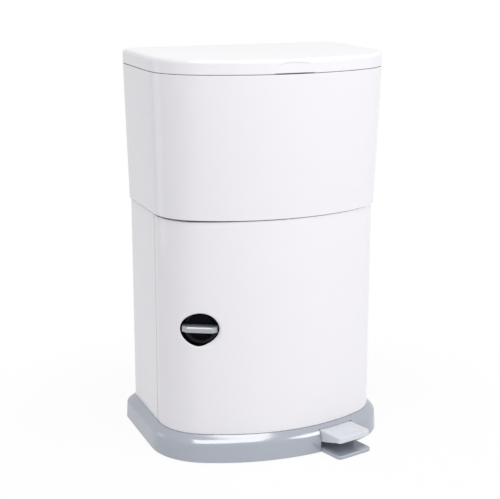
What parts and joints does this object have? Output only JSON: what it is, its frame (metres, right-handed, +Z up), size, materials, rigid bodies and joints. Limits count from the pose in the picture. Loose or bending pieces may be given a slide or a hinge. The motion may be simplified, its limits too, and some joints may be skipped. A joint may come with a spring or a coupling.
{
  "type": "nappy bin",
  "caption": "Tall pedal-operated nappy bin with a bowed front, hinged lid, sealing flaps in its throat and a wrap-round front door with a turn-knob latch.",
  "frame": {"origin": "middle of the overall box, pedal ledge included, on the floor plane", "axes": "+Z up, -Y out of the bowed front where the pedal is, +X to the right as seen from the front"},
  "size_m": [0.44, 0.37, 0.711],
  "materials": {
    "white_shell": "glossy white ABS",
    "white_inner": "satin white moulding",
    "base_plastic": "glossy blue-grey ABS",
    "pedal_plastic": "satin-gloss pale grey ABS",
    "knob_plastic": "satin blue-grey ABS",
    "grey_inner": "matte mid grey moulding",
    "cassette_plastic": "matte dark moulding",
    "black_plastic": "black moulding",
    "seal_rubber": "soft grey seal",
    "black_rubber": "matte black rubber",
    "plated_steel": "zinc-plated steel"
  },
  "bodies": {
    "stand": {"base_tray": "base_plastic", "foot_1": "black_rubber", "foot_2": "black_rubber", "foot_3": "black_rubber", "foot_4": "black_rubber", "pedal_axle": "plated_steel", "rear_shell": "white_shell", "rod_cover": "white_inner", "upper_shell": "white_shell", "collar": "grey_inner", "liner_cassette": "cassette_plastic", "hinge_pin_left": "plated_steel", "hinge_pin_right": "plated_steel", "latch_keeper": "plated_steel"},
    "pedal": {"pedal": "pedal_plastic", "pedal_lever": "plated_steel"},
    "rod": {"push_rod": "plated_steel", "rod_yoke": "black_plastic", "lift_bar": "plated_steel"},
    "lid": {"lid_shell": "white_shell", "lid_lining": "white_inner", "lid_gasket": "seal_rubber", "lid_crank": "plated_steel"},
    "flap_front": {"flap_front": "grey_inner", "flap_seal_front": "black_rubber", "flap_crank_front": "plated_steel"},
    "flap_rear": {"flap_rear": "grey_inner", "flap_seal_rear": "black_rubber", "flap_crank_rear": "plated_steel"},
    "door": {"door_panel": "white_shell", "latch_cup": "black_plastic", "door_pin_foot": "plated_steel", "door_pin_top": "plated_steel"},
    "knob": {"knob": "knob_plastic", "latch_tongue": "plated_steel", "latch_screw": "plated_steel"}
  },
  "joints": [
    {"name": "lid_hinge", "type": "hinge", "parent": "stand", "child": "lid", "pos_m": [0, 0.17785, 0.6875], "axis": [-1, 0, 0], "range_deg": [0, 75]},
    {"name": "pedal_pivot", "type": "hinge", "parent": "stand", "child": "pedal", "pos_m": [0.07234, -0.0375, 0.022], "axis": [0.9636, 0.2672, 0], "range_deg": [0, 6.5]},
    {"name": "rod_slide", "type": "slide", "parent": "stand", "child": "rod", "axis": [0, 0, 1], "range_m": [0, 0.02313]},
    {"name": "flap_front_hinge", "type": "hinge", "parent": "stand", "child": "flap_front", "pos_m": [0, -0.06455, 0.585], "axis": [-1, 0, 0], "range_deg": [0, 62]},
    {"name": "flap_rear_hinge", "type": "hinge", "parent": "stand", "child": "flap_rear", "pos_m": [0, 0.09945, 0.585], "axis": [1, 0, 0], "range_deg": [0, 62]},
    {"name": "door_hinge", "type": "hinge", "parent": "stand", "child": "door", "pos_m": [0.2003, -0.00455, 0.24165], "axis": [0, 0, 1], "range_deg": [0, 95]},
    {"name": "knob_turn", "type": "hinge", "parent": "door", "child": "knob", "pos_m": [-0.14268, -0.06786, 0.24098], "axis": [-0.4686, -0.8834, 0], "range_deg": [0, 90]}
  ],
  "couplings": [
    {"joint": "pedal_pivot", "follows": "lid_hinge", "ratio": 0.086667},
    {"joint": "rod_slide", "follows": "lid_hinge", "m_per_rad": 0.017668},
    {"joint": "flap_front_hinge", "follows": "lid_hinge", "ratio": 0.82667},
    {"joint": "flap_rear_hinge", "follows": "lid_hinge", "ratio": 0.82667}
  ]
}
